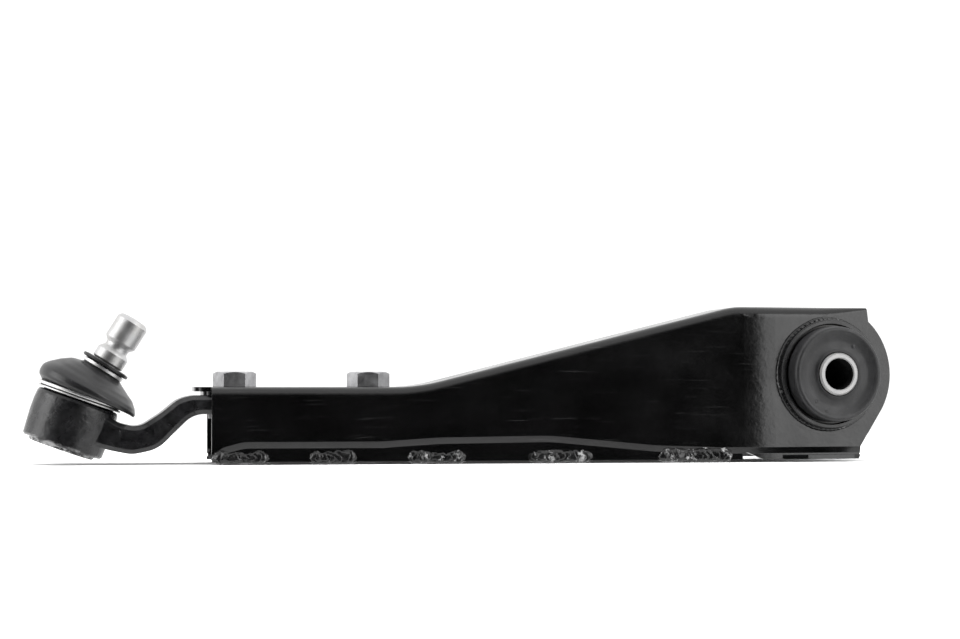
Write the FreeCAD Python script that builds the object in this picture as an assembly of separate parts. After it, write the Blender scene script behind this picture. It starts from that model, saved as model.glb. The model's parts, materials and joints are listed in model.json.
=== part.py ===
import FreeCAD, Part
import math
import os

# Control arm: a welded pressed-steel box with a bolted-in ball joint at its
# left end and a rubber bush at its right end. All sizes are in millimetres.
# Origin: centre of the bush bore. +Y along the bush, +Z up, ball joint at -X.

V = FreeCAD.Vector

# --- pressed-steel box ---
SHEET = 2.0                # sheet thickness
HALF_W = 21.0              # half the outer width of the box
LIP_OUT = 2.8              # how far the lower lips are joggled out, at 45 degrees
CORNER_R = 5.0             # outer bend radius along the web's edges
BASE_Z = -39.6             # lowest edge of the lips
LEDGE_END_Z = -34.0        # ledge line beside the bush
WEB_LOW_Z = -6.0           # web top over the stem
WEB_HIGH_Z = 31.4          # web top over the bush
FOLD_DEG = 9.4             # the box turns by this much beside the bush
FOLD_X = -33.3             # where the two straight centre lines cross
FOLD_R = 74.0              # bend radius of the centre line at the fold
FOLD_RUN = FOLD_R * math.tan(math.radians(FOLD_DEG / 2))   # bend length to each side
BOX_END = -252.2           # left ends of the walls, measured from the fold
SLOPE_FOOT = -158.8        # foot of the web's slope, from the fold
SLOPE_HEAD = -10.4          # head of the web's slope, from the fold
SLOPE_FOOT_R = 90.0
SLOPE_HEAD_R = 33.0
TONGUE_LEN = 7.4           # the web runs past the walls as a tongue
TONGUE_HALF_W = 14.5
FLANGE_OUT = 2.6           # how far the foot flange turns out beside the bush
RUN_OUT_X = -4.0           # the web's corner bend sharpens from here rightwards
RUN_OUT_SHARE = 0.2
END_X = 20.8               # right end of the web, past the bush centre
END_R = 33.0               # the walls' rounded end around the bush
DOUBLER_T = 1.8

# --- bolts that hold the stem ---
BOLT_1 = -240.8            # distances of the bolts from the fold
BOLT_2 = -179.4
BOLT_R = 5.0
BOLT_HOLE_R = 5.5
HEX_AF = 17.0
HEAD_H = 7.0
NUT_H = 8.0
WASHER_R = 12.0
WASHER_T = 2.0
BLADE_T = 8.4              # thickness of the stem inside the box
STEM_CHAMFER = 2.0         # along the stem's corners outside the box

# --- bush ---
EYE_R = 25.6               # eye tube outside
EYE_T = 2.0
EYE_OUT = 4.0              # how far the tube stands out of each wall
SLEEVE_R = EYE_R - EYE_T   # bush outer sleeve outside
SLEEVE_T = 1.4
SLEEVE_BACK = 1.5          # how far it ends inside the eye tube
EYE_WELD = 1.6             # leg of the fillet run round the tube
RUBBER_FACE_R = 21.9
RUBBER_OUT = 11.6          # rubber face, out of the wall
PIN_SLEEVE_R = 9.95
PIN_BORE_R = 7.1
PIN_SLEEVE_HALF = 33.0

# --- ball joint ---
BALL_POS = -313.7          # ball centre, from the fold
BALL_Z = -19.8
HOUSING_TILT = 19.5        # housing axis leans towards the bush
STUD_TILT = 32.0           # stud axis leans further
BALL_R = 12.5
SEAT_R = 15.0
CUP_R = 19.2               # cup outside, at the ball's height


# --- small helpers ---
def cylinder(radius, length, base, axis=V(0, 0, 1)):
    return Part.makeCylinder(radius, length, base, axis)


def tube(outer, inner, length, base, axis=V(0, 0, 1)):
    body = cylinder(outer, length, base, axis)
    return body.cut(cylinder(inner, length + 2, base - axis * 1.0, axis))


def lathe(points):
    """Turn an outline of (radius, height) points round the Z axis."""
    outline = [V(r, 0, z) for r, z in points]
    outline.append(outline[0])
    face = Part.Face(Part.makePolygon(outline))
    return face.revolve(V(0, 0, 0), V(0, 0, 1), 360)


def rounded_chain(points, radii):
    """Edges through the points, with each inner corner rounded."""
    edges = []
    start = points[0]
    for i in range(1, len(points) - 1):
        before = (points[i - 1] - points[i]).normalize()
        after = (points[i + 1] - points[i]).normalize()
        if radii[i] <= 0:
            edges.append(Part.LineSegment(start, points[i]).toShape())
            start = points[i]
            continue
        half = before.getAngle(after) / 2
        reach = radii[i] / math.tan(half)
        first = points[i] + before * reach
        last = points[i] + after * reach
        middle = (before + after).normalize()
        centre = points[i] + middle * (radii[i] / math.sin(half))
        edges.append(Part.LineSegment(start, first).toShape())
        edges.append(Part.Arc(first, centre - middle * radii[i], last).toShape())
        start = last
    edges.append(Part.LineSegment(start, points[-1]).toShape())
    return edges


def slab(points, radii, half_width):
    """A side outline in XZ, rounded at its corners, given its width in Y."""
    shifted = [V(x, -half_width, z) for x, z in points]
    top = rounded_chain(shifted, radii)
    top.append(Part.LineSegment(shifted[-1], shifted[0]).toShape())
    face = Part.Face(Part.Wire(top))
    return face.extrude(V(0, 2 * half_width, 0))


def to_box(shape):
    """Put a shape drawn along the straight box into the part's frame."""
    placed = shape.copy()
    placed.rotate(V(0, 0, 0), V(0, 0, 1), -FOLD_DEG)
    placed.translate(V(FOLD_X, 0, 0))
    return placed


def long_edges(shape, half_width, z_above):
    """Edges lying in the planes y = +-half_width and above a height."""
    found = []
    for edge in shape.Edges:
        box = edge.BoundBox
        in_plane = box.YLength < 0.01 and abs(abs(box.YMin) - half_width) < 0.01
        high = box.ZMin > z_above
        if in_plane and high and box.XLength > 0.5:
            found.append(edge)
    return found


# --- the box's cross-sections along its length ---
def web_outline(inset, left, right, floor):
    """Side outline of the box under the web, from left to right."""
    slope = math.atan2(WEB_HIGH_Z - WEB_LOW_Z, SLOPE_HEAD - SLOPE_FOOT)
    shift = inset * math.tan(slope / 2)
    points = [
        (left, floor),
        (left, WEB_LOW_Z - inset),
        (SLOPE_FOOT + shift, WEB_LOW_Z - inset),
        (SLOPE_HEAD + shift, WEB_HIGH_Z - inset),
        (right, WEB_HIGH_Z - inset),
        (right, floor),
    ]
    radii = [0, 0, SLOPE_FOOT_R + inset, SLOPE_HEAD_R - inset, 0, 0]
    return points, radii


def ledge_outline(inset, left, right, floor):
    """Side outline of the joggled lip band; its top is the ledge line."""
    points = [
        (left, floor),
        (left, -37.2 - inset),
        (-247.5, -33.2 - inset),
        (-238, -30.7 - inset),
        (-176, -30.7 - inset),
        (-150, -29.0 - inset),
        (-98, -28.3 - inset),
        (-48, -33.0 - inset),
        (-18, LEDGE_END_Z - inset),
        (right, LEDGE_END_Z - inset),
        (right, floor),
    ]
    radii = [0, 0, 8, 20, 90, 90, 90, 90, 60, 0, 0]
    return points, radii


def box_stretch(inset, left, right, floor):
    """One solid stretch of the box: upper block plus wider lip band."""
    half_width = HALF_W - inset
    points, radii = web_outline(inset, left, right, floor)
    upper = slab(points, radii, half_width)
    edges = long_edges(upper, half_width, floor + 20)
    upper = upper.makeFillet(CORNER_R - inset, edges)
    points, radii = ledge_outline(ledge_drop(inset), left, right, floor)
    band = slab(points, radii, half_width + LIP_OUT)
    edges = long_edges(band, half_width + LIP_OUT, floor + 0.5)
    band = band.makeChamfer(LIP_OUT, edges)
    return upper.fuse(band)


def ledge_drop(inset):
    """How much lower a 45-degree slope starts once it is set in."""
    return inset * (math.sqrt(2) - 1)


def box_hollow():
    return box_stretch(SHEET, BOX_END - 20, 50, BASE_Z - 6)


def end_profile():
    """The walls' right end around the bush, as a cutting block."""
    start = math.radians(49)
    stop = math.radians(-29)
    radius = END_R
    first = V(radius * math.cos(start), -60, radius * math.sin(start))
    last = V(radius * math.cos(stop), -60, radius * math.sin(stop))
    middle = V(radius, -60, 0)
    foot = V(9.7, -60, BASE_Z - 6)
    edges = [
        Part.LineSegment(V(END_X, -60, 60), V(END_X, -60, WEB_HIGH_Z)).toShape(),
        Part.LineSegment(V(END_X, -60, WEB_HIGH_Z), first).toShape(),
        Part.Arc(first, middle, last).toShape(),
        Part.LineSegment(last, foot).toShape(),
        Part.LineSegment(foot, V(100, -60, BASE_Z - 6)).toShape(),
        Part.LineSegment(V(100, -60, BASE_Z - 6), V(100, -60, 60)).toShape(),
        Part.LineSegment(V(100, -60, 60), V(END_X, -60, 60)).toShape(),
    ]
    return Part.Face(Part.Wire(edges)).extrude(V(0, 120, 0))


def arm_shell():
    """Upper pressing: web, two walls and the joggled lips, open below."""
    straight = box_stretch(0, BOX_END, -FOLD_RUN, BASE_Z)
    straight = straight.cut(box_hollow())
    tongue = Part.makeBox(
        TONGUE_LEN + 20, 2 * TONGUE_HALF_W, SHEET,
        V(BOX_END - TONGUE_LEN, -TONGUE_HALF_W, WEB_LOW_Z - SHEET),
    )
    corners = [
        e for e in tongue.Edges
        if e.BoundBox.ZLength > 1 and e.BoundBox.XMax < BOX_END
    ]
    tongue = tongue.makeFillet(6, corners)
    straight = straight.fuse(tongue)
    for x in (BOLT_1, BOLT_2):
        hole = cylinder(BOLT_HOLE_R, 12, V(x, 0, WEB_LOW_Z - 6))
        straight = straight.cut(hole)
    shell = to_box(straight).fuse([fold_bend(), bush_stretch()])
    shell = shell.cut(cylinder(EYE_R, 80, V(0, -40, 0), V(0, 1, 0)))
    return shell.cut(lip_notch()).removeSplitter()


def lip_notch():
    """Step in the lips' lower edge where the closing plate ends."""
    outline = [
        (-44.6, BASE_Z - 5), (-44.6, BASE_Z + 3.2), (-42.0, BASE_Z + 3.2),
        (-34.5, BASE_Z - 0.1), (-34.5, BASE_Z - 5), (-44.6, BASE_Z - 5),
    ]
    points = [V(x, -60, z) for x, z in outline]
    return Part.Face(Part.makePolygon(points)).extrude(V(0, 120, 0))


def bush_stretch():
    """The stretch of the shell around the bush, square to the bush."""
    zone = high_stretch(0, FOLD_X + FOLD_RUN, BASE_Z)
    zone = zone.cut(high_stretch(SHEET, FOLD_X + FOLD_RUN - 5, BASE_Z - 6))
    for side in (-1, 1):
        zone = zone.fuse(foot_flange(side))
    return zone.cut(end_profile())


def fold_bend():
    """The curved stretch between the sloping box and the bush stretch."""
    start = FOLD_X + FOLD_RUN
    sheet = high_stretch(0, start, BASE_Z)
    sheet = sheet.cut(high_stretch(SHEET, start - 5, BASE_Z - 6))
    section = [f for f in sheet.Faces if f.BoundBox.XMax < start + 0.001]
    pivot = V(start, FOLD_R, 0)
    pieces = [f.revolve(pivot, V(0, 0, 1), -FOLD_DEG) for f in section]
    bend = pieces[0]
    for piece in pieces[1:]:
        bend = bend.fuse(piece)
    return bend


def foot_flange(side):
    """Narrow flange that turns outward along the foot of a wall."""
    lip = HALF_W + LIP_OUT
    outline = [
        (-25.0, lip - 1), (-25.0, lip), (-13.0, lip + FLANGE_OUT),
        (11.0, lip + FLANGE_OUT), (20.0, lip + 0.8), (20.0, lip - 1), (-25.0, lip - 1),
    ]
    points = [V(x, side * y, BASE_Z) for x, y in outline]
    return Part.Face(Part.makePolygon(points)).extrude(V(0, 0, SHEET))


def high_stretch(inset, left, floor):
    """Square stretch whose corner bend runs out towards its right end."""
    half_width = HALF_W - inset
    right = END_X + 4 + inset
    top = WEB_HIGH_Z - inset
    blocks = []
    for start, end in ((left, RUN_OUT_X), (RUN_OUT_X, right)):
        points = [(start, floor), (start, top), (end, top), (end, floor)]
        block = slab(points, [0, 0, 0, 0], half_width)
        edges = long_edges(block, half_width, floor + 20)
        corner = CORNER_R - inset
        last = corner if end < right else corner * RUN_OUT_SHARE
        blocks.append(tapered_fillet(block, edges, corner, last))
    far = END_X + 60
    points = [
        (left, floor),
        (left, LEDGE_END_Z - ledge_drop(inset)),
        (far, LEDGE_END_Z - ledge_drop(inset)),
        (far, floor),
    ]
    band = slab(points, [0, 0, 0, 0], half_width + LIP_OUT)
    edges = long_edges(band, half_width + LIP_OUT, floor + 0.5)
    band = band.makeChamfer(LIP_OUT, edges)
    wall = slab([(right, floor), (right, 0), (far, 0), (far, floor)], [0] * 4, half_width)
    tall = slab([(right, 0), (right, top), (far, top), (far, 0)], [0] * 4, half_width)
    return blocks[0].fuse([blocks[1], wall, tall, band])


def tapered_fillet(block, edges, first, last):
    """Fillet that goes from one radius at low X to another at high X."""
    for edge in edges:
        start = edge.valueAt(edge.FirstParameter)
        end = edge.valueAt(edge.LastParameter)
        match = [e for e in block.Edges if same_line(e, start, end)]
        radii = (first, last)
        if match[0].Vertexes[0].Point.x > match[0].Vertexes[-1].Point.x:
            radii = (last, first)
        block = block.makeFillet(radii[0], radii[1], match)
    return block


def same_line(edge, start, end):
    points = [v.Point for v in edge.Vertexes]
    near = [min((p - q).Length for q in points) for p in (start, end)]
    return len(points) == 2 and max(near) < 0.01


# --- closing plate and welds ---
PLATE_LEFT = BOX_END + 2.0
PLATE_RIGHT = -12.0
PLATE_LOW_Z = -39.2        # underside of the plate
LIP_INSIDE = HALF_W + LIP_OUT - SHEET
NUT_ACCESS_R = 13.0


def closing_plate():
    """Flat plate nested between the lips, with two holes under the nuts."""
    length = PLATE_RIGHT - PLATE_LEFT
    low = V(PLATE_LEFT, -LIP_INSIDE, PLATE_LOW_Z)
    plate = Part.makeBox(length, 2 * LIP_INSIDE, SHEET, low)
    plate = plate.common(box_hollow())
    for x in (BOLT_1, BOLT_2):
        hole = cylinder(NUT_ACCESS_R, 20, V(x, 0, PLATE_LOW_Z - 5))
        plate = plate.cut(hole)
    return to_box(plate)


# Bead runs along the lips, as distances from the fold.
WELD_STITCHES = [
    (-251.5, -226.0), (-208.9, -186.9), (-164.6, -137.1), (-108.9, -78.6), (-47.9, -12.2),
]
BEAD_OUT = 1.2             # how far a bead stands out of the lip


def stitch_welds(side):
    """Bead runs over the corner between one lip's edge and the plate."""
    lip = LIP_INSIDE + SHEET
    section = [
        (LIP_INSIDE, PLATE_LOW_Z), (LIP_INSIDE - 2.4, PLATE_LOW_Z),
        (LIP_INSIDE - 1.4, BASE_Z - 0.4), (lip - 1.0, BASE_Z - 0.9),
        (lip + BEAD_OUT * 0.6, BASE_Z - 0.5), (lip + BEAD_OUT, BASE_Z + 0.8),
        (lip + BEAD_OUT * 0.8, BASE_Z + 2.4), (lip, BASE_Z + 3.8),
        (lip, BASE_Z), (LIP_INSIDE, BASE_Z), (LIP_INSIDE, PLATE_LOW_Z),
    ]
    beads = []
    for start, end in WELD_STITCHES:
        outline = [V(start, side * y, z) for y, z in section]
        bead = Part.Face(Part.makePolygon(outline)).extrude(V(end - start, 0, 0))
        beads.append(bead)
    return to_box(Part.makeCompound(beads))


def web_doubler():
    """Plate between the web and the stem, showing under the tongue."""
    left = BOX_END - 3.6
    length = BOLT_2 + 14 - left
    plate = Part.makeBox(
        length, 32, DOUBLER_T, V(left, -16, WEB_LOW_Z - SHEET - DOUBLER_T)
    )
    corners = [e for e in plate.Edges if e.BoundBox.ZLength > 1]
    plate = plate.makeFillet(5, corners)
    for x in (BOLT_1, BOLT_2):
        plate = plate.cut(cylinder(BOLT_HOLE_R, 12, V(x, 0, WEB_LOW_Z - 10)))
    return to_box(plate)


# --- bolts, washers and nuts ---
HEAD_Z = WEB_LOW_Z
BLADE_TOP = WEB_LOW_Z - SHEET - DOUBLER_T
BLADE_LOW = BLADE_TOP - BLADE_T


def hexagon(flats, height, base):
    corner = flats / math.sqrt(3)
    points = []
    for i in range(7):
        a = math.radians(60 * i)
        points.append(V(corner * math.cos(a), corner * math.sin(a), 0) + base)
    prism = Part.Face(Part.makePolygon(points)).extrude(V(0, 0, height))
    return prism


def hex_chamfer(flats, height, base, top, bottom):
    """A lathe-turned body that takes a hexagon's sharp corners off."""
    corner = flats / math.sqrt(3)
    drop = (corner - flats / 2 + 0.35) * math.tan(math.radians(30))
    outline = [(0, 0), (corner + 0.1, 0), (corner + 0.1, height), (0, height)]
    if top:
        outline[2:3] = [(corner + 0.1, height - drop), (flats / 2 - 0.35, height)]
    if bottom:
        outline[1:2] = [(flats / 2 - 0.35, 0), (corner + 0.1, drop)]
    body = lathe(outline)
    body.translate(base)
    return body


def clamp_bolts():
    bolts = []
    shank_low = BLADE_LOW - WASHER_T - NUT_H - 2.6
    for x, turn in ((BOLT_1, -3.5), (BOLT_2, -7.0)):
        base = V(x, 0, HEAD_Z)
        head = hexagon(HEX_AF, HEAD_H, base)
        head = head.common(hex_chamfer(HEX_AF, HEAD_H, base, True, False))
        shank = cylinder(BOLT_R, HEAD_Z - shank_low + 1, V(x, 0, shank_low))
        tip = [e for e in shank.Edges if e.BoundBox.ZMax < shank_low + 0.1]
        shank = shank.makeChamfer(0.8, tip)
        bolt = head.fuse(shank)
        bolt.rotate(V(x, 0, 0), V(0, 0, 1), turn)
        bolts.append(bolt)
    return to_box(Part.makeCompound(bolts))


def clamp_nuts():
    nuts = []
    low = BLADE_LOW - WASHER_T - NUT_H
    for x, turn in ((BOLT_1, 12.0), (BOLT_2, 24.0)):
        base = V(x, 0, low)
        nut = hexagon(HEX_AF, NUT_H, base)
        nut = nut.common(hex_chamfer(HEX_AF, NUT_H, base, True, True))
        nut = nut.cut(cylinder(BOLT_R, NUT_H + 2, V(x, 0, low - 1)))
        nut.rotate(V(x, 0, 0), V(0, 0, 1), turn)
        nuts.append(nut)
    return to_box(Part.makeCompound(nuts))


def nut_washers():
    rings = []
    for x in (BOLT_1, BOLT_2):
        base = V(x, 0, BLADE_LOW - WASHER_T)
        rings.append(tube(WASHER_R, BOLT_HOLE_R, WASHER_T, base))
    return to_box(Part.makeCompound(rings))


# --- bush ---
def along_y(shape):
    """Turn a body drawn round Z so that it lies round Y."""
    turned = shape.copy()
    turned.rotate(V(0, 0, 0), V(1, 0, 0), -90)
    return turned


def eye_tube():
    half = HALF_W + EYE_OUT
    ring = lathe([
        (EYE_R - EYE_T, -half), (EYE_R - 0.5, -half), (EYE_R, -half + 0.5),
        (EYE_R, half - 0.5), (EYE_R - 0.5, half), (EYE_R - EYE_T, half),
    ])
    return along_y(ring)


def eye_welds():
    """Fillet runs round the eye tube, outside both walls."""
    beads = []
    for side in (-1, 1):
        outline = [
            (EYE_R, side * HALF_W),
            (EYE_R + EYE_WELD, side * HALF_W),
            (EYE_R + EYE_WELD * 0.7, side * (HALF_W + EYE_WELD * 0.7)),
            (EYE_R, side * (HALF_W + EYE_WELD)),
        ]
        beads.append(along_y(lathe(outline)))
    return Part.makeCompound(beads)


def bush_outer_sleeve():
    half = HALF_W + EYE_OUT - SLEEVE_BACK
    ring = lathe([
        (SLEEVE_R - SLEEVE_T, -half), (SLEEVE_R - 0.4, -half), (SLEEVE_R, -half + 1.2),
        (SLEEVE_R, half - 1.2), (SLEEVE_R - 0.4, half), (SLEEVE_R - SLEEVE_T, half),
    ])
    return along_y(ring)


def bush_rubber():
    """Rubber block: proud shoulders with small roundings and dished faces."""
    full = SLEEVE_R - SLEEVE_T
    root = HALF_W + EYE_OUT - SLEEVE_BACK
    face = HALF_W + RUBBER_OUT
    bore = PIN_SLEEVE_R + 0.05
    right = [
        (full, root - 0.6), (full - 0.5, root), (full + 0.2, root + 1.6),
        (full + 0.2, face - 3.0),
        (RUBBER_FACE_R, face - 1.6), (RUBBER_FACE_R - 0.4, face - 0.5),
        (RUBBER_FACE_R - 1.5, face), (RUBBER_FACE_R - 4.4, face - 0.9),
        (bore + 2.6, face - 1.1), (bore, face - 0.6),
    ]
    left = [(r, -z) for r, z in reversed(right)]
    return along_y(lathe(right + left))


def pivot_sleeve():
    half = PIN_SLEEVE_HALF
    ring = lathe([
        (PIN_BORE_R, 0.6 - half), (PIN_BORE_R + 0.6, -half),
        (PIN_SLEEVE_R - 0.7, -half), (PIN_SLEEVE_R, 0.7 - half),
        (PIN_SLEEVE_R, half - 0.7), (PIN_SLEEVE_R - 0.7, half),
        (PIN_BORE_R + 0.6, half), (PIN_BORE_R, half - 0.6),
    ])
    return along_y(ring)


# --- ball joint ---
def at_joint(shape, tilt):
    """Put a body drawn round Z at the ball centre, leaning to the bush."""
    placed = shape.copy()
    placed.rotate(V(0, 0, 0), V(0, 1, 0), tilt)
    placed.translate(V(BALL_POS, 0, BALL_Z))
    return to_box(placed)


def stem():
    """S-bent forged stem: a flat blade in the box, rising from the cup."""
    lean = math.radians(HOUSING_TILT)
    cup_x = BALL_POS + 6.0
    cup_z = BALL_Z - 2.0
    top = [
        (cup_x, cup_z + 9.5), (-293.0, -22.2), (-284.5, -24.2), (-274.5, -17.8),
        (-266.5, -11.2), (-260.6, BLADE_TOP), (BOLT_2 + 16, BLADE_TOP),
    ]
    low = [
        (BOLT_2 + 16, BLADE_LOW), (-260.0, BLADE_LOW), (-267.2, -25.2),
        (-275.5, -33.8), (-287.0, -36.4), (-297.0, -34.4), (cup_x, cup_z - 9.5),
    ]
    points = [V(x, -17, z) for x, z in top + low]
    radii = [0, 10, 10, 30, 14, 12, 0, 0, 12, 30, 16, 16, 30, 0]
    edges = rounded_chain(points, radii)
    edges.append(Part.LineSegment(points[-1], points[0]).toShape())
    bar = Part.Face(Part.Wire(edges)).extrude(V(0, 34, 0))
    plan = [
        V(cup_x, -13.5, 0), V(-290, -13.0, 0), V(-268, -15.5, 0), V(-246, -17, 0),
        V(BOLT_2 + 2, -15, 0), V(BOLT_2 + 16, -10, 0), V(BOLT_2 + 16, 10, 0),
        V(BOLT_2 + 2, 15, 0), V(-246, 17, 0), V(-268, 15.5, 0), V(-290, 13.0, 0),
        V(cup_x, 13.5, 0),
    ]
    corners = [0, 30, 60, 60, 20, 6, 6, 20, 60, 60, 30, 0]
    outline = rounded_chain(plan, corners)
    outline.append(Part.LineSegment(plan[-1], plan[0]).toShape())
    prism = Part.Face(Part.Wire(outline)).extrude(V(0, 0, 90))
    prism.translate(V(0, 0, -60))
    bar = bar.common(prism)
    corners = [e for e in bar.Edges if on_stem_side(e)]
    return bar.makeChamfer(STEM_CHAMFER, corners)


def on_stem_side(edge):
    """Whether an edge runs along the stem's front or rear side, left of the box."""
    box = edge.BoundBox
    middle = edge.valueAt((edge.FirstParameter + edge.LastParameter) / 2)
    return box.XMax < BOX_END + 3 and box.XLength > 0.5 and abs(middle.y) > 9


def joint_housing():
    """Forged cup round the ball with its stem, in one piece."""
    cup = lathe([
        (0, -15.2), (14.6, -15.2), (15.1, -14.7), (15.3, -13.8), (17.7, -13.7),
        (CUP_R - 0.7, -12.9), (CUP_R - 0.4, -8.0), (CUP_R, -2.0), (CUP_R, 3.0),
        (CUP_R - 0.3, 6.8), (CUP_R - 0.8, 8.0), (CUP_R - 1.8, 8.4),
        (16.4, 8.5), (16.4, 12.0), (0, 12.0),
    ])
    cup = at_joint(cup, HOUSING_TILT)
    body = cup.fuse(to_box(stem()))
    cavity = lathe([
        (0, -16.0), (14.0, -16.0), (14.0, -12.4), (SEAT_R, -12.4), (SEAT_R, 7.0),
        (12.8, 7.6), (14.0, 13.0), (0, 13.0),
    ])
    body = body.cut(at_joint(cavity, HOUSING_TILT))
    for x in (BOLT_1, BOLT_2):
        hole = cylinder(BOLT_HOLE_R, 40, V(x, 0, BLADE_LOW - 20))
        body = body.cut(to_box(hole))
    return body.removeSplitter()


def seat_ring(low, high, extra):
    """One half of the ball's plastic seat between two heights."""
    ring = lathe([(0, low), (SEAT_R, low), (SEAT_R, high), (0, high)])
    ring = ring.cut(Part.makeSphere(BALL_R + 0.05))
    if extra:
        relief = lathe([(0, 3.0), (11.6, 3.0), (12.3, 9.0), (0, 9.0)])
        ring = ring.cut(relief)
    return at_joint(ring, HOUSING_TILT)


def upper_ball_seat():
    return seat_ring(0.2, 6.9, True)


def lower_ball_seat():
    ring = lathe([(0, -9.6), (SEAT_R, -9.6), (SEAT_R, -0.2), (0, -0.2)])
    ring = ring.cut(Part.makeSphere(BALL_R + 0.05))
    return at_joint(ring, HOUSING_TILT)


def preload_spring():
    """Wavy-washer stand-in: a conical spring ring under the lower seat."""
    ring = lathe([
        (9.8, -12.8), (13.6, -12.8), (13.6, -11.8), (10.6, -9.7), (9.8, -9.7),
    ])
    return at_joint(ring, HOUSING_TILT)


def housing_cover():
    """Bottom cap rolled into the cup."""
    disc = lathe([
        (0, -15.0), (9.0, -15.0), (12.6, -14.2), (13.9, -14.2), (13.9, -12.9), (0, -12.9),
    ])
    return at_joint(disc, HOUSING_TILT)


def boot_lower_ring():
    """Flat spring band and a thin keeper wire round the boot's lower bead."""
    band = lathe([
        (18.7, 10.2), (19.5, 10.2), (19.8, 10.5), (19.8, 11.3), (19.5, 11.6), (18.7, 11.6),
    ])
    wire = Part.makeTorus(19.0, 0.38, V(0, 0, 9.3), V(0, 0, 1))
    return at_joint(Part.makeCompound([band, wire]), HOUSING_TILT)


# Circles of the boot in the cup's frame: centre shift towards the bush,
# height, extra lean in degrees, outer radius.
BOOT_NECK_LEAN = STUD_TILT - HOUSING_TILT
BOOT_CIRCLES = [
    (0.0, 8.8, 0.0, 18.45), (0.0, 12.1, 0.0, 18.45), (2.3, 12.6, 5.0, 23.2),
    (2.2, 14.3, 6.0, 23.1), (2.0, 17.1, 8.6, 21.2), (2.8, 21.0, 9.5, 16.2),
]
BOOT_NECK = [(24.2, 10.2), (24.8, 9.1), (26.9, 9.1)]
BOOT_T = 1.7               # rubber thickness


def boot_circle(shift, height, lean, radius):
    """One circle of the boot, placed in the cup's own frame."""
    wire = Part.Wire(Part.Circle(V(0, 0, 0), V(0, 0, 1), radius).toShape())
    wire.rotate(V(0, 0, 0), V(0, 1, 0), lean)
    wire.translate(V(shift, 0, height))
    return wire


def dust_boot():
    """Bellied rubber cover from the cup's rim to the stud's neck."""
    rows = list(BOOT_CIRCLES)
    lean = math.radians(BOOT_NECK_LEAN)
    for reach, radius in BOOT_NECK:
        shift = reach * math.sin(lean)
        rows.append((shift, reach * math.cos(lean), BOOT_NECK_LEAN, radius))
    outside = []
    inside = []
    for i, (shift, height, turn, radius) in enumerate(rows):
        outside.append(boot_circle(shift, height, turn, radius))
        drop = BOOT_T * 0.6 if 3 < i < 7 else 0.0
        lift = BOOT_T * 0.6 if i == 2 else 0.0
        inside.append(boot_circle(shift, height - drop + lift, turn, radius - BOOT_T))
    boot = Part.makeLoft(outside, True, True).cut(Part.makeLoft(inside, True, True))
    return at_joint(boot, HOUSING_TILT)


def boot_upper_ring():
    ring = lathe([(9.3, 25.0), (9.9, 25.2), (9.9, 26.5), (9.3, 26.7)])
    return at_joint(ring, STUD_TILT)


def boot_lip():
    """Collar disc above the boot that wipes the knuckle."""
    disc = lathe([
        (6.55, 27.0), (10.8, 27.0), (11.4, 27.4), (11.3, 28.4), (9.6, 28.8), (6.55, 28.8),
    ])
    return at_joint(disc, STUD_TILT)


def ball_stud():
    """Ball, tapered neck and straight pin with a pinch groove."""
    neck = lathe([
        (0, 0), (7.4, 0), (7.4, 11.0), (6.6, 15.0), (6.5, 29.0), (7.0, 29.1),
        (7.5, 29.7), (7.5, 34.0), (7.2, 34.5), (5.6, 36.3), (5.5, 37.2), (5.6, 38.1),
        (7.2, 39.8), (7.5, 40.3), (7.5, 50.2), (6.6, 51.6), (5.4, 52.2), (0, 52.6),
    ])
    ball = Part.makeSphere(BALL_R)
    flat = Part.makeBox(40, 40, 10, V(-20, -20, -21.0))
    stud = ball.cut(flat).fuse(neck)
    return at_joint(stud, STUD_TILT)


SUB_PARTS = {
    "arm_shell": arm_shell,
    "closing_plate": closing_plate,
    "front_stitch_welds": lambda: stitch_welds(-1),
    "rear_stitch_welds": lambda: stitch_welds(1),
    "web_doubler": web_doubler,
    "clamp_bolts": clamp_bolts,
    "clamp_nuts": clamp_nuts,
    "nut_washers": nut_washers,
    "eye_tube": eye_tube,
    "eye_welds": eye_welds,
    "bush_outer_sleeve": bush_outer_sleeve,
    "bush_rubber": bush_rubber,
    "pivot_sleeve": pivot_sleeve,
    "joint_housing": joint_housing,
    "upper_ball_seat": upper_ball_seat,
    "lower_ball_seat": lower_ball_seat,
    "preload_spring": preload_spring,
    "housing_cover": housing_cover,
    "boot_lower_ring": boot_lower_ring,
    "dust_boot": dust_boot,
    "boot_upper_ring": boot_upper_ring,
    "boot_lip": boot_lip,
    "ball_stud": ball_stud,
}

os.makedirs("parts", exist_ok=True)
for name, build in SUB_PARTS.items():
    build().exportStep("parts/" + name + ".step")
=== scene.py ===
import bmesh
import bpy
import json
import math
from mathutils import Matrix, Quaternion, Vector
from mathutils.noise import noise


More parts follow.
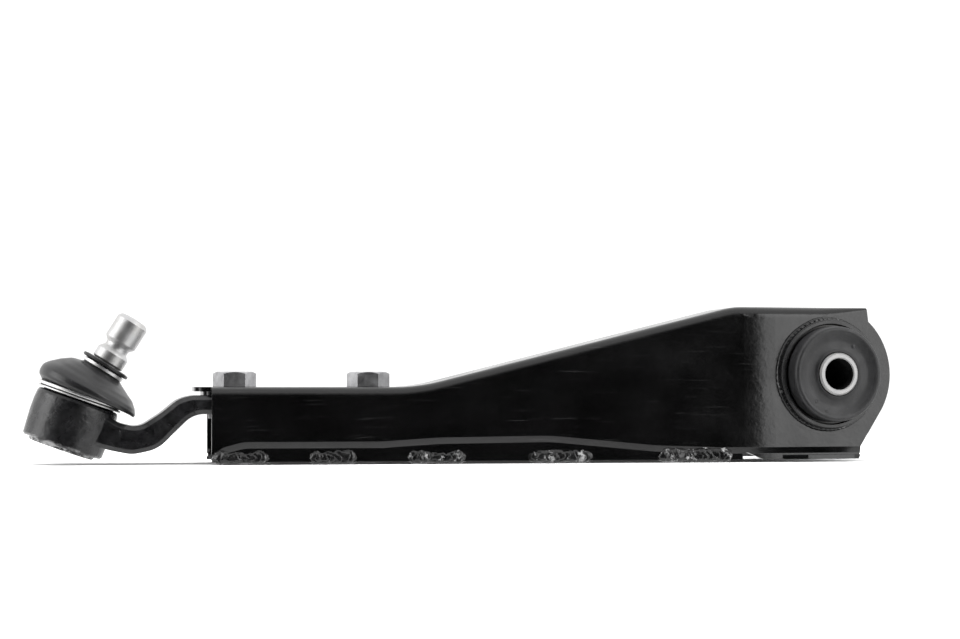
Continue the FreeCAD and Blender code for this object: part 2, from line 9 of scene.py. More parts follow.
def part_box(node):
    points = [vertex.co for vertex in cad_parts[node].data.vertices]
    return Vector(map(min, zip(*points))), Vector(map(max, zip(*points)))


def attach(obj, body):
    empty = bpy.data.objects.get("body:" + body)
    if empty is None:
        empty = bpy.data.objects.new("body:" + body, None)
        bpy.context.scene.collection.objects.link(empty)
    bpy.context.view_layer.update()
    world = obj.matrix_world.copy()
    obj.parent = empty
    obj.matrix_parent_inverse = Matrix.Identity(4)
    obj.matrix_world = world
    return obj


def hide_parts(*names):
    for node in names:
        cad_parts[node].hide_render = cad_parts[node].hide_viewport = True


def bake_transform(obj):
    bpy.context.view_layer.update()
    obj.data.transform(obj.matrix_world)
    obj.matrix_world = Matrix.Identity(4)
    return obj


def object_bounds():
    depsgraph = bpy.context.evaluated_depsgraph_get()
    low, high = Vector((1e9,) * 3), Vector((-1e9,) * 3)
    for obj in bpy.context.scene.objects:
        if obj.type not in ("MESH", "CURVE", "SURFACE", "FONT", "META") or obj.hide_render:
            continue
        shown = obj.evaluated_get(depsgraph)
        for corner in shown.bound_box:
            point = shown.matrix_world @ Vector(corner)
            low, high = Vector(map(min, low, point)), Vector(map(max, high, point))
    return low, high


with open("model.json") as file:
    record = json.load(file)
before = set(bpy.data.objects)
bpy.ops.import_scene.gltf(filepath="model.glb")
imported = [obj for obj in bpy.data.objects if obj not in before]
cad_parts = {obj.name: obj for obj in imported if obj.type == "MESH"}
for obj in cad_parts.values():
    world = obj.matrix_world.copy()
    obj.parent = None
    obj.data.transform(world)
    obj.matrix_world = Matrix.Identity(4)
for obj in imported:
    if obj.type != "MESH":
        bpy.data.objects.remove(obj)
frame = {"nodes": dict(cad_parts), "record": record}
CAD_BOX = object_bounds()
RECORD = frame["record"]
MM = 0.001


# --- places read from the frame ---
JOINTS = {j["name"]: j for j in RECORD["behaviour"]["joints"]}
BALL = Vector(JOINTS["joint_azimuth"]["pos_m"])
CUP_AXIS = Vector(JOINTS["joint_azimuth"]["axis"]).normalized()
STUD_AXIS = Vector(JOINTS["stud_spin"]["axis"]).normalized()
TILT_AXIS = Vector(JOINTS["joint_tilt"]["axis"]).normalized()
UP = Vector((0, 0, 1))
BORE_AXIS = Vector((0, 1, 0))
BORE_CENTRE = Vector((0, 0, 0))
BOX_ALONG = TILT_AXIS.cross(UP).normalized()   # along the straight box, towards the bush

# --- camera ---
LENS_MM = 86.25
CAMERA_YAW = 19.1        # degrees off the bush's axis
CAMERA_PITCH = 1.68      # looking slightly up
CAMERA_BACK = 1.1024     # from the bush's bore, along the view
CAMERA_LEFT = 0.1567     # of the bush's bore
CAMERA_LOW = 0.006       # below the bush's bore
SENSOR_MM = 36.0


def add_camera():
    """The main camera; returns its level direction of view and its right."""
    yaw = math.radians(CAMERA_YAW)
    ahead = Vector((math.sin(yaw), math.cos(yaw), 0))
    right = Vector((math.cos(yaw), -math.sin(yaw), 0))
    data = bpy.data.cameras.new("camera")
    data.lens = LENS_MM
    data.sensor_width = SENSOR_MM
    data.clip_start = 0.01
    data.clip_end = 50.0
    camera = bpy.data.objects.new("camera", data)
    bpy.context.scene.collection.objects.link(camera)
    camera.location = -ahead * CAMERA_BACK - right * CAMERA_LEFT
    camera.location.z = -CAMERA_LOW
    camera.rotation_euler = (math.radians(90 + CAMERA_PITCH), 0, -yaw)
    bpy.context.scene.camera = camera
    return ahead, right


AHEAD, RIGHT = add_camera()


# --- floor, world and lights ---
AIM = Vector((-0.15, 0.0, 0.0))   # what the lights point at
FLOOR_RADIUS = 0.72
FLOOR_GAP = 0.0004                # between the floor and the part's lowest point
SEEN_WHITE = 1.15                 # brightness of the room behind the part
ROOM_WHITE = 1.25                 # brightness of the room in reflections and fill
DARK_FROM = 0.46                  # where the room darkens towards the camera's side
DARK_TO = 0.86


def node_of(tree, kind, **settings):
    """A new shader node with the given settings."""
    node = tree.nodes.new(kind)
    for key, value in settings.items():
        setattr(node, key, value)
    return node


def add_floor():
    """White ground right under the part; beyond it the room is white too."""
    low, high = CAD_BOX
    centre = ((low[0] + high[0]) / 2, (low[1] + high[1]) / 2, low[2] - FLOOR_GAP)
    bpy.ops.mesh.primitive_circle_add(
        vertices=96, radius=FLOOR_RADIUS, fill_type="NGON", location=centre,
    )
    floor = bpy.context.object
    floor.name = "floor"
    floor.visible_glossy = False
    mat = bpy.data.materials.new("floor")
    mat.use_nodes = True
    shader = mat.node_tree.nodes["Principled BSDF"]
    shader.inputs["Base Color"].default_value = (0.95, 0.95, 0.95, 1)
    shader.inputs["Roughness"].default_value = 0.9
    floor.data.materials.append(mat)


def add_world():
    """A white room whose side behind the camera is dark, so that black paint stays black."""
    world = bpy.data.worlds.new("studio")
    bpy.context.scene.world = world
    world.use_nodes = True
    tree = world.node_tree
    tree.nodes.clear()
    out = node_of(tree, "ShaderNodeOutputWorld")
    seen = node_of(tree, "ShaderNodeBackground")
    seen.inputs["Color"].default_value = (1, 1, 1, 1)
    seen.inputs["Strength"].default_value = SEEN_WHITE
    room = node_of(tree, "ShaderNodeBackground")
    room.inputs["Strength"].default_value = ROOM_WHITE
    coords = node_of(tree, "ShaderNodeTexCoord")
    # how far a direction points back towards the camera's side of the room
    toward = node_of(tree, "ShaderNodeVectorMath", operation="DOT_PRODUCT")
    toward.inputs[1].default_value = -AHEAD
    ramp = node_of(tree, "ShaderNodeValToRGB")
    ramp.color_ramp.interpolation = "EASE"
    ramp.color_ramp.elements[0].position = DARK_FROM
    ramp.color_ramp.elements[0].color = (1, 1, 1, 1)
    ramp.color_ramp.elements[1].position = DARK_TO
    ramp.color_ramp.elements[1].color = (0.004, 0.004, 0.0045, 1)
    tree.links.new(coords.outputs["Generated"], toward.inputs[0])
    tree.links.new(toward.outputs["Value"], ramp.inputs["Fac"])
    tree.links.new(ramp.outputs["Color"], room.inputs["Color"])
    path = node_of(tree, "ShaderNodeLightPath")
    mix = node_of(tree, "ShaderNodeMixShader")
    tree.links.new(path.outputs["Is Camera Ray"], mix.inputs["Fac"])
    tree.links.new(room.outputs["Background"], mix.inputs[1])
    tree.links.new(seen.outputs["Background"], mix.inputs[2])
    tree.links.new(mix.outputs["Shader"], out.inputs["Surface"])


def add_light(name, azimuth, elevation, distance, width, height, power):
    """A soft panel; azimuth 0 is over the camera, positive to its right."""
    turn = math.radians(azimuth)
    lift = math.radians(elevation)
    level = -AHEAD * math.cos(turn) + RIGHT * math.sin(turn)
    away = level * math.cos(lift) + Vector((0, 0, math.sin(lift)))
    data = bpy.data.lights.new(name, "AREA")
    data.shape = "RECTANGLE"
    data.size = width
    data.size_y = height
    data.energy = power
    light = bpy.data.objects.new(name, data)
    bpy.context.scene.collection.objects.link(light)
    light.location = AIM + away * distance
    light.rotation_euler = away.to_track_quat("Z", "Y").to_euler()
    return light


bpy.context.scene.view_settings.view_transform = "Standard"
add_floor()
add_world()
add_light("top_panel", 0, 82, 1.2, 1.8, 1.2, 26).visible_glossy = False
add_light("right_panel", 54, 14, 1.6, 0.8, 1.2, 8)
add_light("left_panel", -72, 12, 1.6, 0.9, 1.2, 9)


# --- materials ---
DARK_PAINT = 0.0008      # darkest tone of the black paint
ORANGE_PEEL = 0.112      # strength of the paint's waviness
DUST_BUMP = 0.064        # strength of the dust specks under the paint
PAINT_EDGE = 0.35        # softened edges of painted sheet, mm
TURNING_PITCH = 0.25     # distance of the turning marks, mm
RIM_FROM = -12.2         # the housing's rim below the ball wears bare from here
RIM_TO = -14.0           # to here, mm


def blank(name):
    """A material, its node tree, its shader and its object coordinates."""
    mat = bpy.data.materials.new(name)
    mat.use_nodes = True
    tree = mat.node_tree
    shader = tree.nodes["Principled BSDF"]
    coords = node_of(tree, "ShaderNodeTexCoord")
    return mat, tree, shader, coords.outputs["Object"]


def noise_node(tree, place, scale, detail=3.0, roughness=0.55, stretch=None):
    """A noise value over a place, stretched differently along each axis if asked."""
    if stretch:
        mapping = node_of(tree, "ShaderNodeMapping")
        mapping.inputs["Scale"].default_value = stretch
        tree.links.new(place, mapping.inputs["Vector"])
        place = mapping.outputs["Vector"]
    tex = node_of(tree, "ShaderNodeTexNoise")
    tex.inputs["Scale"].default_value = scale
    tex.inputs["Detail"].default_value = detail
    tex.inputs["Roughness"].default_value = roughness
    tree.links.new(place, tex.inputs["Vector"])
    return tex.outputs["Fac"]


def ramp_node(tree, value, stops):
    """A colour ramp; each stop is a place and a grey or a colour."""
    ramp = node_of(tree, "ShaderNodeValToRGB")
    elements = ramp.color_ramp.elements
    while len(elements) < len(stops):
        elements.new(0.5)
    for element, (place, colour) in zip(elements, stops):
        element.position = place
        if not isinstance(colour, tuple):
            colour = (colour, colour, colour)
        element.color = (*colour, 1)
    tree.links.new(value, ramp.inputs["Fac"])
    return ramp.outputs["Color"]


def bump_node(tree, height, strength, distance, normal=None):
    """A bumped normal, over another normal if one is given."""
    bump = node_of(tree, "ShaderNodeBump")
    bump.inputs["Strength"].default_value = strength
    bump.inputs["Distance"].default_value = distance
    tree.links.new(height, bump.inputs["Height"])
    if normal is not None:
        tree.links.new(normal, bump.inputs["Normal"])
    return bump.outputs["Normal"]


def soft_edges(tree, radius):
    """A normal that rounds sharp edges off."""
    bevel = node_of(tree, "ShaderNodeBevel")
    bevel.samples = 6
    bevel.inputs["Radius"].default_value = radius
    return bevel.outputs["Normal"]


def painted_steel(name, light=0.003, rough=(0.15, 0.26)):
    """Black paint with a faint orange peel, a few dust specks and fine rubs."""
    mat, tree, shader, place = blank(name)
    cloud = noise_node(tree, place, 28, 4)
    speck = noise_node(tree, place, 900, 2, 0.7)
    rubs = noise_node(tree, place, 30, 3, 0.6, stretch=(1.5, 1.5, 40))
    colour = ramp_node(tree, cloud, [
        (0.3, (DARK_PAINT, DARK_PAINT, DARK_PAINT * 1.05)),
        (0.75, (light, light, light * 1.06)),
    ])
    dust = ramp_node(tree, speck, [(0.74, 0.0), (0.82, 0.05)])
    rubbed = ramp_node(tree, rubs, [(0.62, 0.0), (0.74, 0.012)])
    grey = blend_node(tree, dust, rubbed)
    tree.links.new(blend_node(tree, colour, grey), shader.inputs["Base Color"])
    smears = noise_node(tree, place, 60, 5, 0.6)
    gloss = ramp_node(tree, smears, [(0.3, rough[0]), (0.7, rough[1])])
    tree.links.new(gloss, shader.inputs["Roughness"])
    shader.inputs["Specular IOR Level"].default_value = 0.5
    waves = noise_node(tree, place, 420, 2)
    peel = bump_node(tree, waves, ORANGE_PEEL, 0.0006, soft_edges(tree, PAINT_EDGE * MM))
    fine = bump_node(tree, speck, DUST_BUMP, 0.0002, peel)
    tree.links.new(fine, shader.inputs["Normal"])
    return mat


def blend_node(tree, first, second, kind="ADD", factor=1.0):
    """Two colours added or mixed; the factor is a number or another node's value."""
    mix = node_of(tree, "ShaderNodeMix", data_type="RGBA", blend_type=kind)
    if isinstance(factor, float):
        mix.inputs["Factor"].default_value = factor
    else:
        tree.links.new(factor, mix.inputs["Factor"])
    tree.links.new(first, mix.inputs["A"])
    tree.links.new(second, mix.inputs["B"])
    return mix.outputs["Result"]


def forged_black(name):
    """Black paint over a rough forging skin, chipped here and there and worn at the rim."""
    mat, tree, shader, place = blank(name)
    pits = noise_node(tree, place, 260, 5, 0.7)
    lumps = noise_node(tree, place, 90, 3)
    colour = ramp_node(tree, pits, [
        (0.35, (0.003, 0.003, 0.0033)), (0.72, (0.016, 0.016, 0.017)),
    ])
    spots = noise_node(tree, place, 150, 6, 0.75)
    chips = ramp_node(tree, spots, [(0.66, 0.0), (0.72, 0.09)])
    worn = ramp_node(tree, spots, [(0.46, 0.0), (0.56, 0.30)])
    shift = node_of(tree, "ShaderNodeVectorMath", operation="SUBTRACT")
    shift.inputs[1].default_value = BALL
    tree.links.new(place, shift.inputs[0])
    height = node_of(tree, "ShaderNodeVectorMath", operation="DOT_PRODUCT")
    height.inputs[1].default_value = CUP_AXIS
    tree.links.new(shift.outputs["Vector"], height.inputs[0])
    rim = node_of(tree, "ShaderNodeMapRange")
    rim.inputs["From Min"].default_value = RIM_FROM * MM
    rim.inputs["From Max"].default_value = RIM_TO * MM
    tree.links.new(height.outputs["Value"], rim.inputs["Value"])
    patch_grey = blend_node(tree, chips, worn, "MIX", rim.outputs["Result"])
    tree.links.new(blend_node(tree, colour, patch_grey), shader.inputs["Base Color"])
    gloss = ramp_node(tree, lumps, [(0.3, 0.20), (0.7, 0.36)])
    tree.links.new(gloss, shader.inputs["Roughness"])
    low = bump_node(tree, lumps, 0.40, 0.002, soft_edges(tree, 0.7 * MM))
    high = bump_node(tree, pits, 0.30, 0.0008, low)
    tree.links.new(high, shader.inputs["Normal"])
    return mat


def weld_with_painted_highlights(name, patch_grey=0.30, reach=0.58):
    """Rippled bead, mostly under paint, with pale grey patches painted on as highlights on its crests.
    """
    mat, tree, shader, place = blank(name)
    scale = noise_node(tree, place, 300, 4, 0.6)
    patches = noise_node(tree, place, 170, 5, 0.7)
    colour = ramp_node(tree, scale, [
        (0.35, (0.003, 0.003, 0.0032)), (0.7, (0.014, 0.014, 0.014)),
    ])
    # painted highlight: pale grey patches where the noise runs high stand in for light glinting on the
    # ripples
    crest = ramp_node(tree, patches, [(reach, 0.0), (reach + 0.08, patch_grey)])
    tree.links.new(blend_node(tree, colour, crest), shader.inputs["Base Color"])
    shader.inputs["Roughness"].default_value = 0.2
    tree.links.new(bump_node(tree, scale, 0.4, 0.0008), shader.inputs["Normal"])
    return mat


def zinc(name):
    """Dull bright zinc plating with small stains."""
    mat, tree, shader, place = blank(name)
    shader.inputs["Metallic"].default_value = 1.0
    stain = noise_node(tree, place, 130, 5, 0.65)
    colour = ramp_node(tree, stain, [
        (0.3, (0.34, 0.34, 0.35)), (0.55, (0.56, 0.56, 0.57)), (0.8, (0.74, 0.74, 0.75)),
    ])
    tree.links.new(colour, shader.inputs["Base Color"])
    gloss = ramp_node(tree, noise_node(tree, place, 240, 4), [(0.3, 0.36), (0.7, 0.54)])
    tree.links.new(gloss, shader.inputs["Roughness"])
    skin = bump_node(tree, stain, 0.12, 0.0005, soft_edges(tree, 0.4 * MM))
    tree.links.new(skin, shader.inputs["Normal"])
    return mat


def turned_steel(name, axis, centre, tone, rough, mark=0.10):
    """Bright steel with fine rings left by turning round an axis."""
    mat, tree, shader, place = blank(name)
    shader.inputs["Metallic"].default_value = 1.0
    shift = node_of(tree, "ShaderNodeVectorMath", operation="SUBTRACT")
    shift.inputs[1].default_value = centre
    tree.links.new(place, shift.inputs[0])
    along = node_of(tree, "ShaderNodeVectorMath", operation="DOT_PRODUCT")
    along.inputs[1].default_value = axis
    tree.links.new(shift.outputs["Vector"], along.inputs[0])
    line = node_of(tree, "ShaderNodeTexNoise", noise_dimensions="1D")
    line.inputs["Scale"].default_value = 1000 / TURNING_PITCH
    line.inputs["Detail"].default_value = 2.0
    tree.links.new(along.outputs["Value"], line.inputs["W"])
    smudge = noise_node(tree, place, 120, 4, 0.6)
    colour = ramp_node(tree, smudge, [
        (0.3, (tone * 0.86, tone * 0.85, tone * 0.83)), (0.7, (tone, tone, tone * 1.01)),
    ])
    tree.links.new(colour, shader.inputs["Base Color"])
    gloss = ramp_node(tree, smudge, [(0.3, rough[0]), (0.75, rough[1])])
    tree.links.new(gloss, shader.inputs["Roughness"])
    rings = bump_node(tree, line.outputs["Fac"], mark, 0.0002, soft_edges(tree, 0.25 * MM))
    tree.links.new(rings, shader.inputs["Normal"])
    return mat


def paint_bore_shade(mat, radius):
    """Inside a radius round the bush's axis the steel is painted dark and made unreflective: painted
    shade inside the bore.
    """
    tree = mat.node_tree
    shader = tree.nodes["Principled BSDF"]
    coords = node_of(tree, "ShaderNodeTexCoord")
    flat = node_of(tree, "ShaderNodeVectorMath", operation="MULTIPLY")
    flat.inputs[1].default_value = (1, 0, 1)
    tree.links.new(coords.outputs["Object"], flat.inputs[0])
    far = node_of(tree, "ShaderNodeVectorMath", operation="LENGTH")
    tree.links.new(flat.outputs["Vector"], far.inputs[0])
    within = node_of(tree, "ShaderNodeMath", operation="LESS_THAN")
    within.inputs[1].default_value = radius
    tree.links.new(far.outputs["Value"], within.inputs[0])
    bright = shader.inputs["Base Color"].links[0].from_socket
    mottle = noise_node(tree, coords.outputs["Object"], 200)
    # painted shade: dark grey inside the bore
    painted_bore_shade = ramp_node(tree, mottle, [(0.3, 0.004), (0.7, 0.012)])
    colour = blend_node(tree, bright, painted_bore_shade, "MIX", within.outputs["Value"])
    tree.links.new(colour, shader.inputs["Base Color"])
    metal = node_of(tree, "ShaderNodeMath", operation="SUBTRACT")
    metal.inputs[0].default_value = 1.0
    tree.links.new(within.outputs["Value"], metal.inputs[1])
    tree.links.new(metal.outputs["Value"], shader.inputs["Metallic"])
    tree.links.new(metal.outputs["Value"], shader.inputs["Specular IOR Level"])


def rubber(name, dark, light, rough, bloom=0.0):
    """Moulded rubber with a dusty bloom and a faint skin texture."""
    mat, tree, shader, place = blank(name)
    cloud = noise_node(tree, place, 70, 5, 0.6)
    grit = noise_node(tree, place, 1100, 2, 0.6)
    pale = light + bloom
    colour = ramp_node(tree, cloud, [
        (0.3, (dark, dark, dark * 1.06)), (0.75, (pale, pale, pale * 1.06)),
    ])
    dust = ramp_node(tree, grit, [(0.68, 0.0), (0.78, 0.03)])
    tree.links.new(blend_node(tree, colour, dust), shader.inputs["Base Color"])
    gloss = ramp_node(tree, noise_node(tree, place, 160, 4), [(0.3, rough[0]), (0.7, rough[1])])
    tree.links.new(gloss, shader.inputs["Roughness"])
    skin = bump_node(tree, grit, 0.10, 0.0002)
    tree.links.new(skin, shader.inputs["Normal"])
    return mat


def plastic(name):
    """Natural plastic of the ball's seats."""
    mat, tree, shader, place = blank(name)
    colour = ramp_node(tree, noise_node(tree, place, 90), [
        (0.3, (0.62, 0.60, 0.52)), (0.7, (0.72, 0.70, 0.62)),
    ])
    tree.links.new(colour, shader.inputs["Base Color"])
    shader.inputs["Roughness"].default_value = 0.45
    grain = noise_node(tree, place, 600)
    tree.links.new(bump_node(tree, grain, 0.05, 0.0003), shader.inputs["Normal"])
    return mat


def dress(node, material):
    """Give a CAD node one material of the scene's own."""
    obj = frame["nodes"][node]
    obj.data.materials.clear()
    obj.data.materials.append(material)


PAINT = painted_steel("black_paint")
EYE_PAINT = painted_steel("eye_paint", light=0.01, rough=(0.2, 0.34))
FORGED = forged_black("forged_black")
# one stitch weld in two copies: a shaded copy with fainter painted highlights and a lit copy with
# brighter ones
WELD_SHADED = weld_with_painted_highlights("weld_shaded", patch_grey=0.16, reach=0.60)
WELD_LIT = weld_with_painted_highlights("weld_with_painted_highlights", patch_grey=0.34, reach=0.56)
EYE_WELD = weld_with_painted_highlights("eye_weld", patch_grey=0.12, reach=0.60)
ZINC = zinc("zinc")
SLEEVE_STEEL = turned_steel("sleeve_steel", BORE_AXIS, BORE_CENTRE, tone=0.5, rough=(0.45, 0.6))
# painted shade in the inner sleeve's bore, reaching just past the pivot bore's radius
BORE_MOUNT = next(m for m in RECORD["mounts"] if m["name"] == "pivot_bore")
paint_bore_shade(SLEEVE_STEEL, (BORE_MOUNT["dims"]["r_mm"] + 0.2) * MM)
STUD_STEEL = turned_steel("stud_steel", STUD_AXIS, BALL, tone=0.64, rough=(0.38, 0.54), mark=0.25)
RING_STEEL = turned_steel("ring_steel", CUP_AXIS, BALL, tone=0.85, rough=(0.42, 0.58), mark=0.02)
DARK_STEEL = turned_steel("dark_steel", BORE_AXIS, BORE_CENTRE, tone=0.05, rough=(0.3, 0.45))
BOOT_RUBBER = rubber("boot_rubber", dark=0.006, light=0.012, rough=(0.30, 0.42))
BUSH_RUBBER = rubber("bush_rubber", dark=0.007, light=0.012, rough=(0.40, 0.55), bloom=0.008)
LIP_RUBBER = rubber("lip_rubber", dark=0.005, light=0.01, rough=(0.35, 0.5))
SEAT_PLASTIC = plastic("seat_plastic")

for node, material in {
    "arm_shell": PAINT, "closing_plate": PAINT, "web_doubler": PAINT, "eye_tube": EYE_PAINT,
    "front_stitch_welds": WELD_LIT, "rear_stitch_welds": WELD_LIT, "eye_welds": EYE_WELD,
    "clamp_bolts": ZINC, "clamp_nuts": ZINC, "nut_washers": ZINC,
    "bush_outer_sleeve": DARK_STEEL, "bush_rubber": BUSH_RUBBER, "pivot_sleeve": SLEEVE_STEEL,
    "joint_housing": FORGED, "housing_cover": FORGED, "preload_spring": DARK_STEEL,
    "upper_ball_seat": SEAT_PLASTIC, "lower_ball_seat": SEAT_PLASTIC,
    "boot_lower_ring": RING_STEEL, "boot_upper_ring": RING_STEEL,
    "dust_boot": BOOT_RUBBER, "boot_lip": LIP_RUBBER, "ball_stud": STUD_STEEL,
}.items():
    dress(node, material)


# --- own meshes: welds and soft parts ---
SAME_BEAD = 0.0005          # faces nearer than this belong to one bead
RIPPLE = 0.28 * MM          # step along a lip bead
BEAD_DEPTH = 2.8 * MM       # how far a lip bead bulges over the lip's face
BEAD_RISE = 2.6 * MM        # height of its centre over its foot
BEAD_OVER = 1.4 * MM        # how far it climbs over the lip's edge
BEAD_SPREAD = 0.3 * MM      # how far it runs out past the plain bead
BEAD_TAPER = 3.2 * MM       # length over which its ends swell
BEAD_POINTS = 29            # points round a lip bead
EYE_BEAD_R = 1.55 * MM      # thickness of the bead round the eye tube
EYE_RIPPLE = 2.4 * MM       # length of one of its ripples
EYE_POINTS = 15             # points round an eye bead
BORE_GAP = 0.05 * MM        # between the rubber and the inner sleeve
RUBBER_SKIN = 0.05 * MM     # unevenness of the bush's rubber
BUSH_PIPS = (               # place on the face, radius and height of the moulded pips, mm
    (-11.4, -12.7, 0.9, 0.35), (-6.3, -17.4, 0.7, 0.3), (8.2, 12.9, 0.9, 0.3),
)
BOOT_WALL = 1.3             # the boot's thickness, mm
BOOT_LEAST_R = 7.6          # the boot's smallest inner radius, mm


def mesh_of_rows(name, rows, material, wrap=False, caps=False):
    """A skin over closed rows of points; every row has the same number of points."""
    count = len(rows[0])
    points = [p for row in rows for p in row]
    faces = []
    steps = len(rows) if wrap else len(rows) - 1
    for i in range(steps):
        a = i * count
        b = ((i + 1) % len(rows)) * count
        for j in range(count):
            k = (j + 1) % count
            faces.append((a + j, a + k, b + k, b + j))
    if caps:
        faces.append(tuple(reversed(range(count))))
        faces.append(tuple(range(len(points) - count, len(points))))
    mesh = bpy.data.meshes.new(name)
    mesh.from_pydata(points, [], faces)
    mesh.update()
    shape = bmesh.new()
    shape.from_mesh(mesh)
    bmesh.ops.recalc_face_normals(shape, faces=shape.faces)
    shape.to_mesh(mesh)
    shape.free()
    mesh.shade_smooth()
    obj = bpy.data.objects.new(name, mesh)
    bpy.context.scene.collection.objects.link(obj)
    mesh.materials.append(material)
    return obj


def islands(node):
    """The separate pieces of a CAD node, each as a list of its points."""
    obj = frame["nodes"][node]
    shape = bmesh.new()
    shape.from_mesh(obj.data)
    todo = set(shape.verts)
    found = []
    while todo:
        stack = [todo.pop()]
        piece = []
        while stack:
            vert = stack.pop()
            piece.append(obj.matrix_world @ vert.co)
            for edge in vert.link_edges:
                other = edge.other_vert(vert)
                if other in todo:
                    todo.remove(other)
                    stack.append(other)
        found.append(piece)
    shape.free()
    return merge_touching(found)


def merge_touching(pieces):
    """Join pieces whose reaches along the box overlap: split faces of one bead."""
    spans = []
    for i, piece in enumerate(pieces):
        reach = [p.dot(BOX_ALONG) for p in piece]
        spans.append((min(reach), max(reach), i))
    joined = []
    for start, end, i in sorted(spans):
        if joined and start < joined[-1][0] + SAME_BEAD:
            joined[-1][0] = max(joined[-1][0], end)
            joined[-1][1].extend(pieces[i])
        else:
            joined.append([end, list(pieces[i])])
    return [points for end, points in joined]


def crests(rings, seed_point):
    """Saw-tooth crests of overlapping weld ripples, 0 to 1."""
    phase = rings + 0.7 * noise(seed_point)
    return (phase - math.floor(phase)) ** 0.7


def lip_bead(points, side, index):
    """One lumpy bead over the edge between a lip and the closing plate."""
    across = TILT_AXIS * side
    s_low = min(p.dot(BOX_ALONG) for p in points) - BEAD_SPREAD
    s_high = max(p.dot(BOX_ALONG) for p in points) + BEAD_SPREAD
    v_low = min(p.dot(across) for p in points)
    v_high = max(p.dot(across) for p in points)
    z_low = min(p.z for p in points)
    z_high = max(p.z for p in points) + BEAD_OVER
    centre_v = v_high - BEAD_DEPTH
    centre_z = z_low + BEAD_RISE
    s_mid = (s_low + s_high) / 2
    steps = int((s_high - s_low) / RIPPLE)
    rows = []
    for i in range(steps + 1):
        t = i / steps
        s = s_low + (s_high - s_low) * t
        near = min(s - s_low, s_high - s)
        swell = 0.30 + 0.70 * min(1.0, near / BEAD_TAPER) ** 0.5
        lump = 1 + 0.30 * noise(Vector((s * 150, side * 3.1, index * 5.3)))
        row = []
        for j in range(BEAD_POINTS):
            angle = math.radians(92 - 272 * j / (BEAD_POINTS - 1))
            height = z_high - centre_z if angle > 0 else centre_z - z_low
            if angle < -math.pi / 2:
                height = (centre_z - z_low) * (0.55 + 0.45 * abs(math.sin(angle)))
            reach = BEAD_DEPTH if angle > -math.pi / 2 else centre_v - v_low
            oval = math.hypot((s - s_mid) / (9 * MM) + 0.5 * (index % 2), (j - 10) / 7)
            crest = crests(3.0 * oval, Vector((s * 170, angle * 0.9, side * 7.0 + index * 3.7)))
            rough = 0.12 * noise(Vector((s * 420, angle * 1.6, index * 2.2 + side)))
            grow = swell * lump * (0.82 + 0.26 * crest + rough)
            v = centre_v + reach * math.cos(angle) * grow
            z = centre_z + height * math.sin(angle) * grow
            row.append(BOX_ALONG * s + across * v + UP * max(z, z_low - 0.4 * MM))
        rows.append(row)
    name = "lip_bead_%s_%d" % ("front" if side < 0 else "rear", index)
    # the first two stitches take the shaded copy with fainter painted highlights, the others the lit
    # copy
    return mesh_of_rows(name, rows, WELD_LIT if index > 1 else WELD_SHADED, caps=True)


def add_lip_beads():
    """The finished beads of both weld rows, in place of the plain ones."""
    for node, side in (("front_stitch_welds", -1), ("rear_stitch_welds", 1)):
        for index, points in enumerate(islands(node)):
            bead = lip_bead(points, side, index)
            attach(bead, "arm")
            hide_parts(node)


def add_eye_beads():
    """A ripply run round the eye tube on each wall."""
    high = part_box("eye_welds")[1]
    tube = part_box("eye_tube")[1][0]
    wall = high[1] - (high[0] - tube)
    middle = (EYE_POINTS - 1) / 2
    for side in (-1, 1):
        rows = []
        steps = 560
        for i in range(steps):
            turn = 2 * math.pi * i / steps
            arc = turn * tube
            size = 1 + 0.22 * noise(Vector((math.cos(turn) * 3, math.sin(turn) * 3, side * 4.0)))
            row = []
            for j in range(EYE_POINTS):
                angle = math.radians(-60 + 210 * j / (EYE_POINTS - 1))
                bow = ((j - middle) / middle) ** 2
                crest = crests(arc / EYE_RIPPLE + bow, Vector((arc * 90, side * 2.7, 0)))
                r = EYE_BEAD_R * size * (0.80 + 0.16 * crest)
                radius = tube + r * math.cos(angle) * 0.95
                y = side * (wall + r * math.sin(angle))
                row.append(Vector((radius * math.cos(turn), y, radius * math.sin(turn))))
            rows.append(row)
        name = "eye_bead_%s" % ("front" if side < 0 else "rear")
        bead = mesh_of_rows(name, rows, EYE_WELD, wrap=True)
        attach(bead, "arm")
        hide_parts("eye_welds")


def between(a, b, c, d, t):
    """Smoothly from b to c, with a before and d after them."""
    bend = 2 * a - 5 * b + 4 * c - d
    twist = 3 * b - a - 3 * c + d
    return 0.5 * (2 * b + (c - a) * t + bend * t * t + twist * t ** 3)


def smooth_run(points, count):
    """Points along a smooth curve through the given ones."""
    out = []
    last = len(points) - 1
    for i in range(last):
        p0 = points[max(i - 1, 0)]
        p1, p2 = points[i], points[i + 1]
        p3 = points[min(i + 2, last)]
        for k in range(count):
            t = k / count
            out.append(tuple(between(a, b, c, d, t) for a, b, c, d in zip(p0, p1, p2, p3)))
    out.append(tuple(points[last]))
    return out


def pip(x, z, at_x, at_z, size):
    """A small moulded pip on the rubber's face, 0 to 1."""
    far = math.hypot(x - at_x, z - at_z) / size
    return max(0.0, 1 - far ** 4) if far < 1 else 0.0


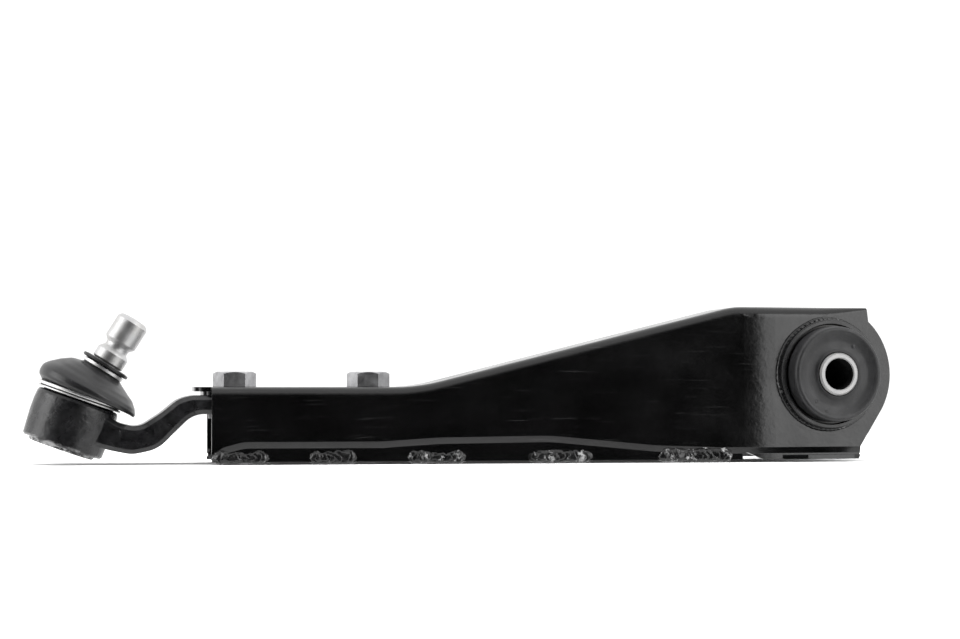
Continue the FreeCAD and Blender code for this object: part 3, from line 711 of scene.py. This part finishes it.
def add_bush_rubber():
    """The bush's rubber block, with dished faces, a moulded rim and pips."""
    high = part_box("bush_rubber")[1]
    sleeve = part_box("bush_outer_sleeve")
    root = sleeve[1][1]
    face = high[1]
    full = high[0]
    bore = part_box("pivot_sleeve")[1][0] + BORE_GAP
    # (radius, distance along the bore) of the block's outline, from the bore outwards
    half = [
        (bore, face - 1.2 * MM), (bore + 0.7 * MM, face - 0.75 * MM),
        (bore + 2.2 * MM, face - 1.35 * MM), (bore + 5.5 * MM, face - 1.5 * MM),
        (full - 4.2 * MM, face - 0.8 * MM), (full - 2.6 * MM, face - 0.15 * MM),
        (full - 1.6 * MM, face), (full - 0.75 * MM, face - 0.35 * MM),
        (full - 0.25 * MM, face - 1.2 * MM),
        (full - 0.05 * MM, face - 2.6 * MM), (full, root + 3.0 * MM), (full - 0.1 * MM, root + 1.0 * MM),
        (full - 0.45 * MM, root + 0.15 * MM), (full - 0.1 * MM, root - 0.8 * MM),
    ]
    run = smooth_run(half, 10)
    outline = run + [(r, -y) for r, y in reversed(run)]
    turns = 300
    rows = []
    for r, y in outline:
        row = []
        for i in range(turns):
            turn = 2 * math.pi * i / turns
            x, z = r * math.cos(turn), r * math.sin(turn)
            skin = RUBBER_SKIN * noise(Vector((x * 240, y * 240, z * 240)))
            push = 0.0
            if abs(y) > root + 6 * MM:
                for at_x, at_z, size, rise in BUSH_PIPS:
                    push += rise * MM * pip(x, z, at_x * MM, at_z * MM, size * MM)
            side = 1 if y > 0 else -1
            spread = 1 + skin / r
            row.append(Vector((x * spread, y + side * (push + skin), z * spread)))
        rows.append(row)
    block = mesh_of_rows("bush_block", rows, BUSH_RUBBER, wrap=True)
    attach(block, "arm")
    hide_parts("bush_rubber")


def share(value):
    """A value held between 0 and 1."""
    return max(0.0, min(1.0, value))


def add_dust_boot():
    """Bellied boot from the cup's rim up to the collar on the stud."""
    lean = CUP_AXIS.angle(STUD_AXIS)
    neck = math.degrees(lean)
    lean_x, lean_z = math.sin(lean), math.cos(lean)
    side = CUP_AXIS.cross(TILT_AXIS).normalized() * -1
    if side.dot(BOX_ALONG) < 0:
        side = -side
    # (shift towards the bush, height over the ball, lean in degrees, radius), lengths in mm
    circles = [
        (0.0, 8.9, 0.0, 18.0), (0.0, 10.0, 0.0, 18.45), (0.3, 11.3, 1.5, 18.9),
        (1.4, 11.5, 4.5, 21.2), (2.1, 12.0, 5.3, 22.8), (2.4, 13.2, 6.0, 23.5),
        (2.4, 14.8, 7.0, 23.3), (2.3, 16.6, 8.3, 21.9), (2.5, 18.6, 9.5, 19.2),
        (2.9, 20.7, 10.6, 16.3), (3.9, 22.8, 12.0, 13.0),
        (24.2 * lean_x, 24.2 * lean_z, neck, 10.4), (25.0 * lean_x, 25.0 * lean_z, neck, 9.3),
        (26.9 * lean_x, 26.9 * lean_z, neck, 9.2),
    ]
    outer = smooth_run(circles, 8)
    inner = [(s, h, a, max(r - BOOT_WALL, BOOT_LEAST_R)) for s, h, a, r in outer]
    turns = 220
    rows = []
    for shift, height, tilt, radius in outer + inner[::-1]:
        turned = Quaternion(TILT_AXIS, math.radians(tilt))
        if (turned @ CUP_AXIS).dot(side) < CUP_AXIS.dot(side):
            turned = Quaternion(TILT_AXIS, math.radians(-tilt))
        centre = BALL + (CUP_AXIS * height + side * shift) * MM
        row = []
        for i in range(turns):
            turn = 2 * math.pi * i / turns
            out = turned @ (side * math.cos(turn) + TILT_AXIS * math.sin(turn))
            belly = share((radius - 9.5) / 4) * share((height - 11.5) / 1.5)
            sag = 1.4 * belly * max(0.0, math.cos(turn)) ** 2 * max(0.0, (radius - 18.5) / 4.5)
            crease = 0.05 * belly * math.sin(height * 2.6 + 1.5 * math.cos(turn + 0.6))
            seed = Vector((math.cos(turn) * 2, math.sin(turn) * 2, height * 0.12))
            soft = 0.25 * belly * noise(seed)
            band = math.exp(-((height - 18.8) / 3.4) ** 2)
            full = 2.0 * belly * max(0.0, math.cos(turn)) ** 2 * band
            reach = radius + crease + soft + full
            row.append(centre + out * reach * MM - CUP_AXIS * sag * MM)
        rows.append(row)
    boot = mesh_of_rows("dust_boot_skin", rows, BOOT_RUBBER, wrap=True)
    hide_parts("dust_boot")
    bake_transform(boot)


add_lip_beads()
add_eye_beads()
add_bush_rubber()
add_dust_boot()
